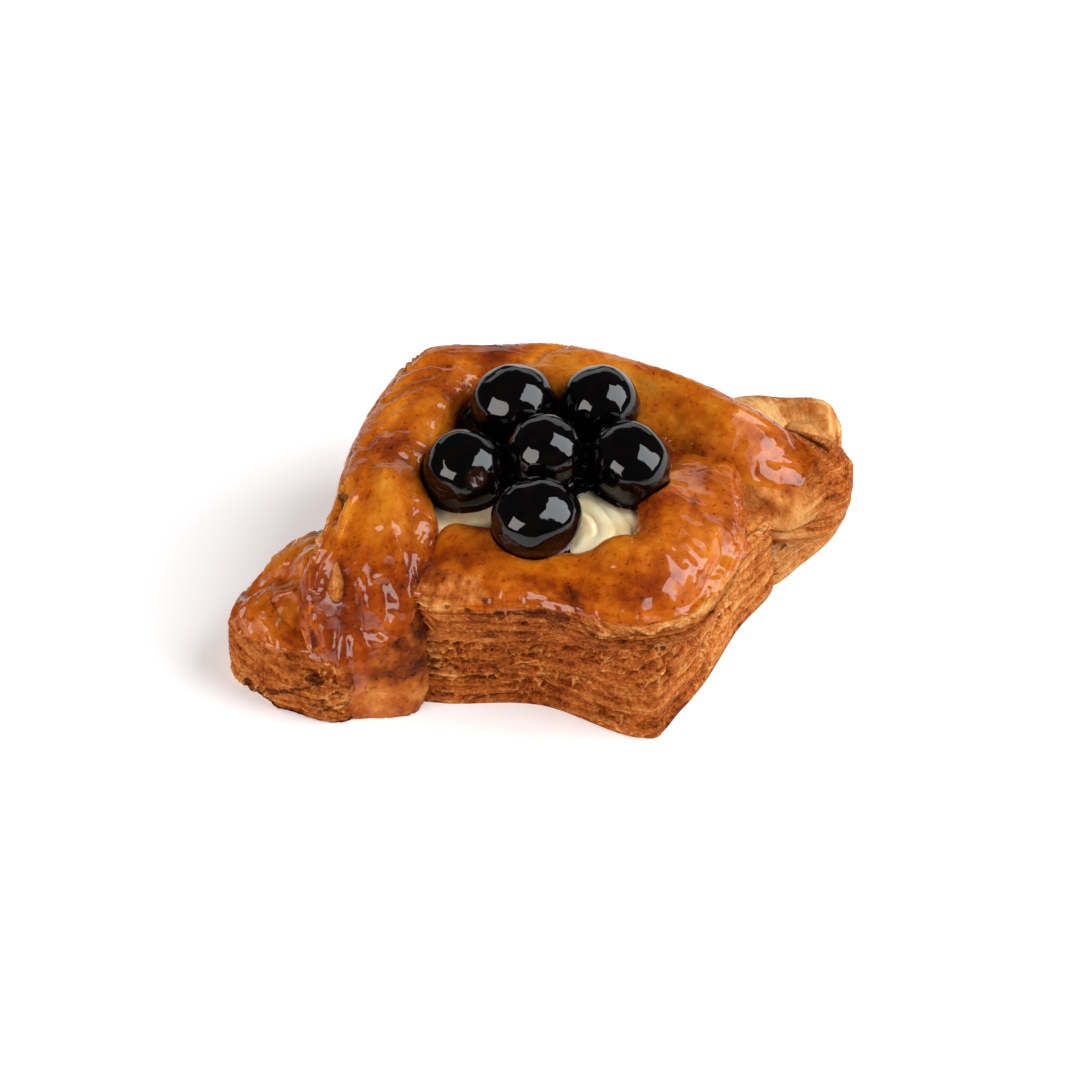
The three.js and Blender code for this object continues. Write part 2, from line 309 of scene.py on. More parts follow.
def beside_cherries(grid, gap=0.3):
    """Pushes points that lie inside a cherry straight out from its middle to just off
    its skin, as soft dough and cream are dented by the fruit."""
    for cherry in CHERRIES:
        way = (grid - cherry[:3]) / (cherry[3:] + gap)
        far = np.linalg.norm(way, axis=-1, keepdims=True)
        skin_point = cherry[:3] + way / np.maximum(far, 0.05) * (cherry[3:] + gap)
        grid = np.where(far < 1, skin_point, grid)
    return grid


def closed_piece(name, grid, follow, features):
    """A closed mesh from a grid of rings, with a pole at each end, faces outwards. follow
    holds the two lengths that its UV map measures in units of 100 mm, and features the
    named numbers kept at each point."""
    rings, around = grid.shape[:2]
    first, last = rings * around, (rings - 1) * around
    points = np.concatenate([
        grid.reshape(-1, 3), grid[0].mean(axis=0)[None], grid[-1].mean(axis=0)[None],
    ])
    i, j = np.meshgrid(np.arange(rings - 1), np.arange(around), indexing="ij")
    k = (j + 1) % around
    quads = np.stack([
        i * around + j, i * around + k, (i + 1) * around + k, (i + 1) * around + j,
    ], axis=-1).reshape(-1, 4)
    j = np.arange(around)
    k = (j + 1) % around
    fans = np.concatenate([
        np.stack([np.full(around, first), k, j], axis=-1),
        np.stack([np.full(around, first + 1), last + j, last + k], axis=-1),
    ])
    corner = np.roll(points[quads], -1, axis=1) - points[quads]
    facing = np.cross(corner[:, 0], corner[:, 1]) * (points[quads[:, 0]] - points.mean(axis=0))
    if facing.sum() < 0:
        quads, fans = quads[:, ::-1], fans[:, ::-1]
    corners = np.concatenate([quads.ravel(), fans.ravel()])
    starts = np.concatenate([np.arange(len(quads)) * 4, len(quads) * 4 + np.arange(len(fans)) * 3])
    mesh = bpy.data.meshes.new(name)
    mesh.vertices.add(len(points))
    mesh.vertices.foreach_set("co", ((points - ORIGIN) * 0.001).astype(np.float32).ravel())
    mesh.loops.add(len(corners))
    mesh.loops.foreach_set("vertex_index", corners.astype(np.int32))
    mesh.polygons.add(len(starts))
    mesh.polygons.foreach_set("loop_start", starts.astype(np.int32))
    mesh.update(calc_edges=True)
    mesh.shade_smooth()
    length, girth = (np.append(c.ravel(), [c[0].mean(), c[-1].mean()]) for c in follow)
    uv = np.stack([length[corners], girth[corners]], axis=-1)
    seam = np.isin(corners, np.arange(rings) * around) & np.repeat(
        np.concatenate([quads.max(axis=1) % around == around - 1, np.zeros(len(fans), bool)]),
        np.concatenate([np.full(len(quads), 4), np.full(len(fans), 3)]),
    )
    # Faces across the seam read the girth one turn on.
    uv[seam, 1] += girth[:around].max() - girth[:around].min() + abs(girth[1] - girth[0])
    uv = (uv * 0.01).astype(np.float32).ravel()
    mesh.uv_layers.new(name="follow").data.foreach_set("uv", uv)
    for feature, values in features.items():
        values = np.broadcast_to(values, (rings, around))
        values = np.append(values.ravel(), [values[0].mean(), values[-1].mean()])
        kept = mesh.attributes.new(feature, "FLOAT", "POINT")
        kept.data.foreach_set("value", values.astype(np.float32))
    piece = bpy.data.objects.new(name, mesh)
    bpy.context.collection.objects.link(piece)
    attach(piece, "root")
    return piece


class Level:
    """A number that changes over a surface: an output socket on which Python's
    operators add Math nodes."""

    def __init__(self, finish, socket):
        self.finish, self.socket = finish, socket

    def math_node(self, operation, first, second):
        return self.finish.node("Math", {"operation": operation}, {0: first, 1: second})

    def __add__(self, other):
        return self.math_node("ADD", self, other)

    def __sub__(self, other):
        return self.math_node("SUBTRACT", self, other)

    def __rsub__(self, other):
        return self.math_node("SUBTRACT", other, self)

    def __mul__(self, other):
        return self.math_node("MULTIPLY", self, other)

    __radd__, __rmul__ = __add__, __mul__

    def eased(self, low, high):
        """0 up to low, 1 from high, smoothly between."""
        sockets = {"Value": self, "From Min": low, "From Max": high}
        return self.finish.node("MapRange", {"interpolation_type": "SMOOTHSTEP"}, sockets)


class Finish:
    """A material on one Principled shader. fixed holds its constant sockets, named in
    lower case."""

    def __init__(self, name, **fixed):
        self.material = bpy.data.materials.new(name)
        self.material.use_nodes = True
        self.tree = self.material.node_tree
        self.shader = self.tree.nodes["Principled BSDF"]
        for socket, value in fixed.items():
            socket = socket.replace("_", " ").title().replace("Ior", "IOR")
            self.shader.inputs[socket].default_value = value

    def node(self, kind, settings, sockets, output=0):
        """Adds a node of that type, with its settings and the values or links of its
        sockets by name or number."""
        made = self.tree.nodes.new("ShaderNode" + kind)
        for setting, value in settings.items():
            setattr(made, setting, value)
        for socket, value in sockets.items():
            self.join(made.inputs[socket], value)
        return Level(self, made.outputs[output])

    def join(self, socket, value):
        if isinstance(value, Level):
            self.tree.links.new(value.socket, socket)
        else:
            socket.default_value = value

    def set(self, socket, value):
        self.join(self.shader.inputs[socket], value)

    def drawn_out(self, length, girth):
        """The piece's own lengths along and around, times length and girth: noise on
        them is drawn out along the dough."""
        own = self.node("TexCoord", {}, {}, "UV")
        settings = {"operation": "MULTIPLY"}
        return self.node("VectorMath", settings, {0: own, 1: (length, girth, 0)})

    def kept(self, feature):
        return self.node("Attribute", {"attribute_name": feature}, {}, "Fac")

    def mottle(self, size, detail=2.0, where=None):
        """Noise within 0 and 1 whose lumps are size mm across, on the piece itself."""
        where = where or self.node("TexCoord", {}, {}, "Object")
        return self.node("TexNoise", {}, {"Vector": where, "Scale": 1000 / size, "Detail": detail})

    def mixed(self, share, first, second):
        """Two colours mixed. A Mix node's colour sockets are 6 and 7, and 2 comes out."""
        return self.node("Mix", {"data_type": "RGBA"}, {0: share, 6: first, 7: second}, 2)

    def ramp(self, level, *stops):
        """The colour at the level between stops of a place and a screen colour."""
        made = self.node("ValToRGB", {}, {0: level})
        ramp = made.socket.node.color_ramp.elements
        while len(ramp) < len(stops):
            ramp.new(0.5)
        for stop, (at, colour) in zip(ramp, stops):
            stop.position, stop.color = at, tint(*colour)
        return made

    def bump(self, height, distance, under=None):
        """A Bump node for a height whose full range is distance mm."""
        sockets = {"Height": height, "Distance": distance * 0.001, "Strength": 1.0}
        if under is not None:
            sockets["Normal"] = under
        return self.node("Bump", {}, sockets)


def tint(red, green, blue):
    """A screen colour of 0 to 255 as the shader's linear colour."""
    shares = [c / 255 for c in (red, green, blue)]
    line = [c / 12.92 if c <= 0.0404 else ((c + 0.055) / 1.055) ** 2.4 for c in shares]
    return (*line, 1.0)


def dough_finish():
    """Baked dough. Its colour follows how far it baked, with the painted shade and light of
    the cut sides' relief mixed in, under glaze by an amber ramp and bare by a straw one
    with streaks along the layers and pale threads that are partly painted glints, darker
    in hollows and at burnt edges; glaze is smooth and bare dough dull."""
    made = Finish("baked_dough", ior=1.15, coat_roughness=0.05, coat_ior=1.44)
    bake, glaze, hollow = made.kept("bake"), made.kept("glaze"), made.kept("hollow")
    burn, layers = made.kept("burn"), made.kept("layers")
    broad, middling = made.mottle(7.0, 3.0), made.mottle(2.2, 3.0)
    fine = made.mottle(0.6)
    laid = made.drawn_out(0.012, 0.18)
    fibres = (made.mottle(1.3, 2.0, made.drawn_out(0.04, 0.5)) - 0.5) * layers
    strata = (made.mottle(1.4, 3.0, laid) - 0.5) * layers + fibres * 0.3
    # Thin pale threads along the layers: partly pale strands of dough, partly painted glints.
    thread_and_glint = made.node("Math", {"operation": "ABSOLUTE"}, {0: made.mottle(1.9, 2.0, laid) - 0.5})
    thread_and_glint = thread_and_glint.eased(0.06, 0.0) * layers
    porous = ((fine - 0.5) * 0.5 + (middling - 0.5) * 0.2) * layers
    blotch = (made.mottle(2.8, 4.0) - 0.5) * (1 - layers)
    pulled = (made.mottle(2.4, 1.5, made.drawn_out(0.017, 0.08)) - 0.5) * (1 - layers)
    speck = made.mottle(1.0).eased(0.58, 0.7)
    # The level the ramps read: how far the dough baked, with the painted shade and light of the
    # cut sides' layers in it, mottled.
    baked = bake + (broad - 0.5) * (0.6 - 0.25 * layers) + (middling - 0.5) * (0.4 - 0.12 * layers)
    baked = baked + (fine - 0.5) * 0.14 + speck * 0.16
    wet = (glaze + (middling - 0.5) * 0.5 + (fine - 0.5) * 0.2).eased(0.44, 0.56)
    amber = made.ramp(
        baked + strata * 0.5 + pulled * 0.5,
        (0.0, (222, 156, 70)), (0.3, (206, 120, 24)), (0.5, (184, 90, 6)),
        (0.72, (142, 54, 1)), (1.0, (64, 20, 3)),
    )
    straw = made.ramp(
        baked + hollow * 0.05 + strata * 0.2 + blotch * 0.7 - thread_and_glint * 0.12 + porous,
        (0.0, (232, 178, 110)), (0.3, (208, 132, 64)), (0.55, (174, 88, 30)),
        (0.8, (118, 50, 10)), (1.0, (54, 20, 8)),
    )
    colour = made.mixed(wet, straw, amber)
    scorch = (burn + (fine - 0.5) * 0.4).eased(0.3, 0.9) * 0.8
    made.set("Base Color", made.mixed(scorch, colour, tint(58, 18, 9)))
    made.set("Roughness", 0.55 + 0.15 * layers + (fine - 0.5) * 0.1)
    thick = made.mottle(5.5, 2.5).eased(0.4, 0.5)
    made.set("Coat Weight", wet * (0.2 + thick * 0.8))
    crumb = made.mottle(0.45, 3.0) * (0.4 + 0.6 * layers) + made.mottle(1.1)
    crumb = crumb + strata * 1.2 + thread_and_glint * 0.7
    film = made.mottle(1.1) * 0.4 + made.mottle(3.2, 1.0) * 1.2
    rough = made.bump(crumb * (1 - wet), 0.26)
    made.set("Normal", made.bump(film * wet, 0.16, rough))
    return made.material


baked_dough = dough_finish()


def dough_piece(name, grid, follow, **features):
    """A piece of the baked dough, kept off the cherries and above the floor. Its features
    are the ones that its finish reads."""
    grid = beside_cherries(grid)
    grid[..., 2] = np.maximum(grid[..., 2], 0)
    piece = closed_piece(name, grid, follow, features)
    piece.data.materials.append(baked_dough)
    return piece


# Torn holes of the front wall: place along and up, half length and half height.
WALL_HOLES = [
    (18.3, 18.2, 1.9, 0.9), (24.2, 17.4, 2.4, 1.2), (38.4, 16.2, 3.0, 1.3), (44, 16.4, 2.8, 1.5),
    (49.4, 16.8, 1.9, 1.4), (54.8, 16.2, 2.9, 2.1), (61.4, 14.2, 2.6, 1.7), (66, 14.6, 2.4, 1.3),
    (57.8, 13.6, 2.2, 0.8), (20.6, 10.6, 1.3, 0.8), (23.8, 10.2, 1.1, 0.7), (27, 10.2, 1.4, 0.9),
    (30, 9.6, 1.2, 0.8), (33, 8.8, 1.4, 0.8), (36.4, 6.4, 1.3, 0.8), (39.6, 6.2, 1.1, 0.6),
    (44.6, 9.6, 1.4, 0.8), (48.8, 10, 1.5, 0.8), (51.4, 3.8, 1.9, 1.6), (56.4, 3.8, 3.0, 2.0),
    (20.4, 2.4, 1.0, 0.6), (23.4, 2.1, 1.9, 0.7), (27, 1.9, 1.3, 0.6),
]
# Burnt lines: points, half width and strength.
WALL_SCORCH = [
    ([(-2.4, -38.8, 15), (-0.5, -40.8, 17.4), (2.3, -41.2, 17.2)], 0.5, 0.9),
    ([(-0.5, -39.7, 24.5), (2.7, -42, 23.9), (7.8, -41.4, 20.8)], 0.6, 1.0),
    ([(4.3, -42.5, 21.8), (8.2, -40.9, 18), (11.2, -39.8, 14.8)], 0.5, 0.9),
    ([(18.8, -35.6, 13.2), (24, -32, 11.6), (32.3, -25.2, 10.6), (37.2, -22.5, 12.2),
      (39.1, -20.9, 14)], 0.4, 1.0),
    ([(-31, -17.6, 3.2), (-25, -20.6, 2.6), (-19, -23.4, 2.2)], 0.6, 0.9),
    ([(-16.7, -24.3, 2.4), (-8, -30.5, 4.6), (2, -43, 8.6)], 0.25, 0.6),
]
grid, along, level, inset = slab(BASE, lean=1.2, shoulder=3, crown=0.5, step=0.3, top_step=2.5)
flank = 1 - smooth(0.9, 2.4, inset)
out, hollow, burn, layer_bake_and_shade = layered(along, level, 1, 0.0)
hole = holed(along, level * LAYER, WALL_HOLES)
foot = smooth(0.3, 2.4, grid[..., 2])
# The front corner's foot runs out to a point on the left and draws in on the right.
point = spot((grid[..., 0], 3.4, 2.2)) - 1.1 * spot((grid[..., 0], 9.5, 3.4))
point = point * spot((grid[..., 2], 0, 12)) * (1 - smooth(-40, -36, grid[..., 1]))
rim = 4 * hole * (1 - hole)
# Under the front strip the wall ends in a smooth band.
under = level * LAYER + 0.4 * noise(along / 6, 0, 1, 51)
band = smooth(18.4, 19.4, under) * within(10, 14, 47, 53, along)
out = out * (1 - 0.75 * band) - 1.5 * hole + 0.3 * rim
grid = grid + outward(grid) * (out * flank * foot + point)[..., None]
low = 1 - smooth(0, 9, grid[..., 2])
pale = within(66, 84, 130, 160, along)
layer_bake_and_shade = layer_bake_and_shade * (1 - 0.8 * band) - 0.26 * rim + 0.04 * hole - 0.04 * band
base = dough_piece(
    "base", grid, (along, level * LAYER), glaze=0.0,
    bake=0.57 + 0.08 * low - 0.12 * pale + layer_bake_and_shade * flank,
    hollow=np.maximum(hollow, hole) * flank,
    burn=np.maximum(burn * 0.3, scorched(grid, WALL_SCORCH)) * flank * foot,
    layers=flank * (1 - 0.6 * band),
)
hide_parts("pastry")

# ---------- left tail ----------
# The corner of the square that stayed outside the crossing on the left. It puffed into
# glazed lobes on top and shows its layers below.
LEFT_TAIL = np.array([
    [-38, -9, 19], [-26, -4, 20], [-28, 12, 22], [-39, 19.5, 24], [-50, 18.5, 22], [-60, 14.5, 19],
    [-63.8, 7, 18], [-62, -2, 16], [-56.4, -9.2, 15], [-48.5, -14.5, 16],
])
# Folds: points, half width and height.
TAIL_FOLDS = [
    ([(-59.6, 12, 15), (-56, 12, 18.6), (-52, 9.5, 21), (-49.4, 5, 23)], 1.9, -1.7),
    ([(-60.3, 10.8, 15.7), (-62.3, 8.9, 12.8), (-63.8, 6.7, 10.6)], 0.6, 0.7),
    ([(-57.4, 8.8, 17.8), (-60.2, 7.7, 16.5), (-62.5, 6.9, 13.3)], 0.6, 0.8),
    ([(-54.5, 8.3, 18.4), (-58.6, 6.8, 17.4), (-61.5, 5.1, 15.2)], 0.6, 0.8),
    ([(-50.6, 3.2, 21.4), (-54.3, 5.4, 19), (-58.3, 3.7, 16.8)], 0.9, 0.9),
    ([(-49.5, 0.2, 21.5), (-53, 1.6, 18.6), (-57, 0.6, 16.6)], 0.7, -0.7),
    ([(-63.8, 2.5, 4), (-62.2, -1, 4.6), (-60.4, -4.7, 5.7), (-56.6, -6.9, 6.4),
      (-53.7, -10.2, 8.6)], 0.8, -1.3),
    ([(-62.4, 1, 11.7), (-59.4, -2.1, 13.3), (-56.2, -4.9, 13.3), (-53.1, -6.7, 13.9)], 0.5, -0.7),
    ([(-62.8, 0, 8.6), (-60, -4, 9.6), (-56.4, -6.6, 10), (-53.4, -8.6, 10.6)], 0.6, -0.6),
]
TAIL_SCORCH = [
    ([(-63, 2.9, 1.5), (-61.5, -2, 3.1), (-58.4, -6.4, 5.7), (-54.2, -10.3, 9.3)], 0.8, 1.0),
    ([(-54.1, -12, 3.9), (-51.1, -12.9, 6.8), (-48.7, -13.7, 9)], 1.3, 0.8),
    (TAIL_FOLDS[7][0], 0.5, 0.8),
    ([(-59, 12, 15.5), (-55.5, 12, 19), (-51.1, 9, 21.4)], 1.0, 0.5),
]
grid, along, level, inset = slab(LEFT_TAIL, lean=0, shoulder=9, crown=4)
flank = 1 - smooth(1.5, 6, inset)
out, hollow, burn, layer_bake_and_shade = layered(along, level, 2, 0.0)
smoothly = skin(grid[..., 0], grid[..., 1], 2) + folded(grid, TAIL_FOLDS)
grid = grid + outward(grid) * (out * flank + smoothly)[..., None]
covered = smooth(12, 15, grid[..., 2] + 1.2 * noise(along / 5, level, 2, 42))
dough_piece(
    "left_tail", grid, (along, level * LAYER + inset), glaze=covered,
    bake=0.53 + 0.16 * noise(along / 9, level / 2, 2, 41) + layer_bake_and_shade * flank * (1 - covered)
    - 0.16 * smooth(10, 15, grid[..., 1]),
    hollow=hollow * flank, burn=np.maximum(burn * flank, scorched(grid, TAIL_SCORCH)),
    layers=flank,
)

# ---------- right tail ----------
# The opposite corner of the square, paler, its skin bare towards the tip.
RIGHT_TAIL = np.array([
    [42, -18, 15], [52, -15.7, 15], [61.8, -11.6, 15], [67.6, -6, 15], [69.5, 2, 17], [69, 9, 17],
    [60, 16, 16], [44, 14, 17], [36, 6, 17], [34, -8, 17],
])
grid, along, level, inset = slab(RIGHT_TAIL, lean=0, shoulder=9, crown=2)
flank = 1 - smooth(1.5, 6, inset)
out, hollow, burn, layer_bake_and_shade = layered(along, level, 3, -0.2)
smoothly = skin(grid[..., 0], grid[..., 1], 3)
grid = grid + outward(grid) * (out * flank * 0.7 + smoothly * (1 - flank))[..., None]
dough_piece(
    "right_tail", grid, (along, level * LAYER + inset), glaze=0.0,
    bake=0.26 + 0.16 * noise(along / 9, level / 2, 3, 41) + layer_bake_and_shade * flank,
    hollow=hollow * flank, burn=burn * flank, layers=flank,
)

# ---------- back strip ----------
# The strip cut from the back edges of the square. It starts at the floor on the left,
# bends round the well and lies over the front strip's end on the right.
BACK_STRIP = np.array([
    [-41.8, -10, -4, 21, 14, 0], [-41.2, -8.8, 8, 22, 15, 0], [-40.4, -6.2, 18.5, 26, 14, -8],
    [-37.3, -1.5, 26.5, 23, 14, -6], [-31.8, 6.4, 29, 18.5, 15, 0], [-24.2, 18.2, 28.7, 18, 15, 0],
    [-14, 29.2, 28.2, 17, 15, 0], [-3.2, 37.2, 28, 17, 15, 0], [5.4, 34.6, 27, 16, 15, 0],
    [16.2, 28.3, 27.5, 17, 15, 0], [25.8, 20.3, 27.6, 17.5, 15, 0], [33.3, 10.6, 27.4, 18, 16, 0],
    [39.5, 0.2, 26, 20, 18, 0], [46, -7.5, 20.5, 23, 20, 0], [53.5, -8, 15.5, 25, 20, 0],
    [58.3, -4.8, 15, 22, 20, 0], [62.6, -1.2, 15.5, 19, 17, 0],
])
BACK_TILT = 3.2  # half of how far the right half sinks on its well side
SQUARENESS = 2.9  # a strip's section is |across|^n + |up|^n = 1
ROUND = 1.75  # a section's way round, as a share of its width and thickness together


def turned(vectors, axes, degrees):
    """Vectors turned about unit axes square to them: v cos a + (axis x v) sin a."""
    a = np.radians(degrees)[:, None]
    return vectors * np.cos(a) + np.cross(axes, vectors) * np.sin(a)


def strip(stations, cut_side):
    """A strip of dough carried along its stations, each x, y, z of the middle, width,
    thickness and roll. Sections are superellipses between the vectors to the side and to
    the top, closed at the ends by the same power. Returns the grid, the distance along,
    the distance around, the angle, how much it is the cut side, and the height above the
    section's middle."""
    points = stations[:, :3]
    step = np.concatenate([points[1:], points[-1:]])
    step = step - np.concatenate([points[:1], points[:-1]])
    step /= np.linalg.norm(step, axis=1, keepdims=True)
    side = np.stack([-step[:, 1], step[:, 0], np.zeros(len(step))], axis=1)
    side /= np.linalg.norm(side, axis=1, keepdims=True)
    top = np.cross(step, side)
    side = turned(side, step, stations[:, 5]) * stations[:, 3:4] / 2
    top = turned(top, step, stations[:, 5]) * stations[:, 4:5] / 2
    rows = np.concatenate([points, side, top], axis=1)
    rows = spline(rows, np.linspace(0, len(stations) - 1, 801))
    run = distance(rows[:, :3])
    length = run[-1]
    high = [np.linalg.norm(top[k]) for k in (0, -1)]
    close = np.linspace(0.05, 1, 20)
    near = 1 - (1 - close ** SQUARENESS) ** (1 / SQUARENESS)
    body = np.arange(near[-1] * high[0] + STEP, length - near[-1] * high[1], STEP)
    s = np.concatenate([near * high[0], body, length - near[::-1] * high[1]])
    at = read(rows, run, s)
    middle, side, top = at[:, None, :3], at[:, None, 3:6], at[:, None, 6:]
    half_wide, half_high = (np.linalg.norm(v, axis=-1) for v in (side, top))
    count = round(stations[:, 3:5].sum() / len(stations) * ROUND / STEP)
    spin = np.linspace(0, 2 * math.pi, count, endpoint=False)
    angle = spin - 0.22 * np.sin(2 * spin)  # closer where the section is broad and flat
    c, t = np.cos(angle)[None], np.sin(angle)[None]
    r = (np.abs(c) ** SQUARENESS + np.abs(t) ** SQUARENESS) ** (-1 / SQUARENESS)
    end = np.minimum(1, np.minimum(s, length - s)[:, None] / half_high)
    closing = (1 - (1 - end) ** SQUARENESS) ** (1 / SQUARENESS)
    grid = middle + (c * r * closing)[..., None] * side + (t * r * closing)[..., None] * top
    way_round = 2 * (half_wide.mean() + half_high.mean()) * ROUND
    girth = np.linspace(0, way_round, count, endpoint=False)[None] * closing
    cut, height = smooth(0.45, 0.8, c * cut_side), r * t * half_high * closing
    kept = (s[:, None], girth, angle[None], cut, height)
    return grid, *(np.broadcast_to(values, grid.shape[:2]) for values in kept)


BACK_FOLDS = [
    ([(-33.2, 10.8, 36.5), (-39, 6, 34.9), (-43.5, 0.7, 32.4), (-47.5, 0.7, 27.9),
      (-52.8, 2.3, 20.6)], 0.8, 0.9),
    ([(-26.5, 9, 29.5), (-25.5, 4, 29.5), (-24.5, -0.5, 29), (-24.8, -5, 28.5),
      (-26, -10, 28)], 3.6, 2.6),
    ([(-21, 16, 34), (-23, 10, 34.5), (-26, 2, 34.2), (-29.2, -7.6, 31)], 2.8, -1.8),
    ([(-42.8, -5.1, 29.6), (-43.6, -9, 25.5), (-44.6, -12, 19.5)], 1.1, -0.9),
    ([(-38.2, -8.7, 30.2), (-38.8, -12, 26), (-41.5, -14.2, 19.5)], 1.6, -1.0),
    ([(-35, 0, 35.5), (-36.6, -4, 34), (-37.2, -8, 31)], 2.0, -0.8),
    ([(-27, 14, 36.3), (-31, 5, 36), (-33, -3, 34.8)], 1.8, 0.5),
    ([(-34.4, 12.2, 36), (-40.4, 7.2, 34.3), (-45, 1.6, 31.6), (-48.8, 2, 27)], 1.0, -0.9),
    ([(-23.8, 26.5, 35.2), (-18.5, 28.2, 35.7), (-13.3, 29.5, 35.5)], 0.8, -0.5),
    ([(-20.1, 31.5, 34.8), (-15.4, 32.5, 35.5), (-10.1, 32.3, 35.5)], 0.7, -0.45),
    ([(-17.2, 34.6, 34.5), (-11.9, 34.8, 35.6), (-6.9, 34.2, 35.4)], 0.7, -0.6),
    ([(-29.2, 20.1, 35.7), (-22.1, 24.5, 36), (-18.3, 26.2, 35.8)], 0.8, -0.6),
    ([(-12.6, 37.5, 34.9), (-9.9, 38.9, 35), (-7, 38.5, 35.6), (-4.4, 37, 35.6),
      (-2.1, 35.1, 35.6)], 0.9, -1.2),
    ([(12, 29, 34.5), (17, 32.5, 34.5), (22.3, 31.7, 34)], 0.9, -0.8),
    ([(-41.3, -4.5, 32), (-39.4, -8.6, 27), (-38.4, -12, 21)], 1.4, -0.7),
    ([(-47.9, -7.3, 22.3), (-49.3, -9.8, 17.8), (-50.6, -11.5, 12.5), (-50.5, -12.7, 5.6),
      (-49.6, -14.5, 0.6)], 0.9, -1.1),
    ([(-46.2, -9.5, 20), (-47.4, -11.6, 15), (-48, -13, 8), (-47, -14.6, 1)], 0.7, -0.7),
    ([(50.3, -11.9, 28.5), (53, -17, 25), (54.4, -19.3, 21.9), (58, -19.5, 15.2)], 0.5, -0.6),
    ([(53, -9, 28), (57, -14, 24), (60, -17, 17)], 0.5, -0.5),
]
BACK_SCORCH = [
    ([(-50.6, -11.5, 12.5), (-50.5, -12.7, 5.6)], 0.9, 0.9),
    ([(-47.6, -12.6, 11), (-48, -13.2, 6)], 0.8, 0.8),
    (BACK_FOLDS[17][0], 0.35, 0.8),
]
grid, along, girth, angle, cut, height = strip(BACK_STRIP, 1)
out, hollow, burn, layer_bake_and_shade = layered(along, height / LAYER, 4, -0.15)
# Glaze has covered the strip round to edge, measured from its outer side. A torn tongue
# hangs bare at the foot, bare skin blistered before the cut end, and pleats lie inside.
edge = np.interp(along, [8, 11.2, 18.8, 21.3, 29, 36, 140, 146, 150, 155, 159, 163, 166, 170],
                 [12, 14.4, 16.5, 18.9, 24, 36, 36, 27, 20.8, 19.2, 18.4, 17, 11, -8])
tongue = noise(along / 2, girth / 2, 4, 50)
tongue = (1 - smooth(15, 18.5, along)) * (1 - smooth(11.5, 15, girth + tongue))
ragged = 2.5 * noise(along / 6, girth / 1.5, 4, 49) * smooth(154, 160, along)
covered = (1 - tongue) * smooth(-0.8, 0.8, edge - girth + ragged)
covered = covered * smooth(-0.6, 0.2, np.sin(angle) - 0.5 * cut + 0.2)
blister = within(142, 148, 160, 164, along) * (1 - covered)
pimple = 0.95 * noise(along / 5, girth / 3.6, 4, 43) + 0.3 * noise(along / 2.2, girth / 2.2, 4, 40)
ending = np.maximum(smooth(158, 163, along), tongue)
leg = 1 - smooth(34, 42, along)
bare = leg * (1 - covered) * (1 - cut)
inner = spot((girth, 20.5, 3)) * within(32, 36, 60, 70, along)
swell = skin(along, girth, 4) * (1 + 0.8 * leg) + blister * pimple
swell += 0.4 * bare * noise(along / 2.4, girth / 2.2, 4, 53)
swell += 0.24 * inner * noise(along / 2.1, girth / 3.2, 4, 48)
tilted = within(112, 126, 158, 164, along) * smooth(-0.4, 0.6, np.sin(angle))
grid[..., 2] += BACK_TILT * (np.cos(angle) - 1) * tilted
relief = out * np.maximum(cut, 0.7 * ending) + swell * (1 - cut) + folded(grid, BACK_FOLDS)
grid = grid + outward(grid) * relief[..., None]
bake = 0.48 + 0.16 * noise(along / 14, girth / 8, 4, 41)
bake += 0.3 * spot((along, 96, 4.5), (girth, 14, 4))  # a dark spot on the far crest
bake += 0.34 * within(8, 16, 28, 42, along) * (0.4 + 0.6 * smooth(9, 15, girth))  # the leg
bake += 0.08 * (1 - smooth(16, 26, along)) * (1 - smooth(12, 15, girth))
bake += layer_bake_and_shade * cut * (1 - blister)
bake += (0.1 * smooth(5, 14, along) - 0.1) * (1 - smooth(14, 20, along)) * smooth(13, 17, girth)
bake -= (0.14 + 0.16 * pimple) * blister
bake += layer_bake_and_shade * ending
bake += 0.03 * bare - 0.03 * ending * (1 - tongue)
burn = burn * np.maximum(cut, ending) * (1 - blister)
dough_piece(
    "back_strip", grid, (along, girth), glaze=covered, bake=bake, hollow=hollow * cut,
    burn=np.maximum(burn, scorched(grid, BACK_SCORCH)),
    layers=np.maximum(cut * (1 - blister), ending) * smooth(1.5, 4.5, along.max() - along),
)

# ---------- front strip ----------
# The strip cut from the front edges. It starts under the back strip's leg on the left,
# turns the front corner and dives under the back strip on the right.
FRONT_STRIP = np.array([
    [-53.5, 9.5, 10, 16, 15, 0], [-46.5, 9.8, 15.8, 21, 16, 0], [-39, 1.5, 20, 20, 14, 0],
    [-28.1, -9.2, 23.8, 20.3, 15.2, 0], [-16.7, -16.1, 24.1, 19, 15.1, 0],
    [-7.3, -22.5, 24.5, 17, 14.5, 0], [1.6, -30.8, 26.3, 19.5, 13.5, 0],
    [9.6, -33.6, 26.8, 19.5, 13.5, 0], [18.6, -28, 26.5, 18, 14, 0],
    [26.3, -18, 25, 18, 14, 0], [32, -7, 23, 18, 13, 0], [42, 4.5, 17, 18, 13, 0],
    [55.5, 11, 11, 22, 14, 0], [64, 9, 9.4, 20, 13, 0], [72, 4.5, 12, 16, 11, 0],
])
FRONT_TILT = 3.3  # how far the front corner's well side rises and its outer side sinks
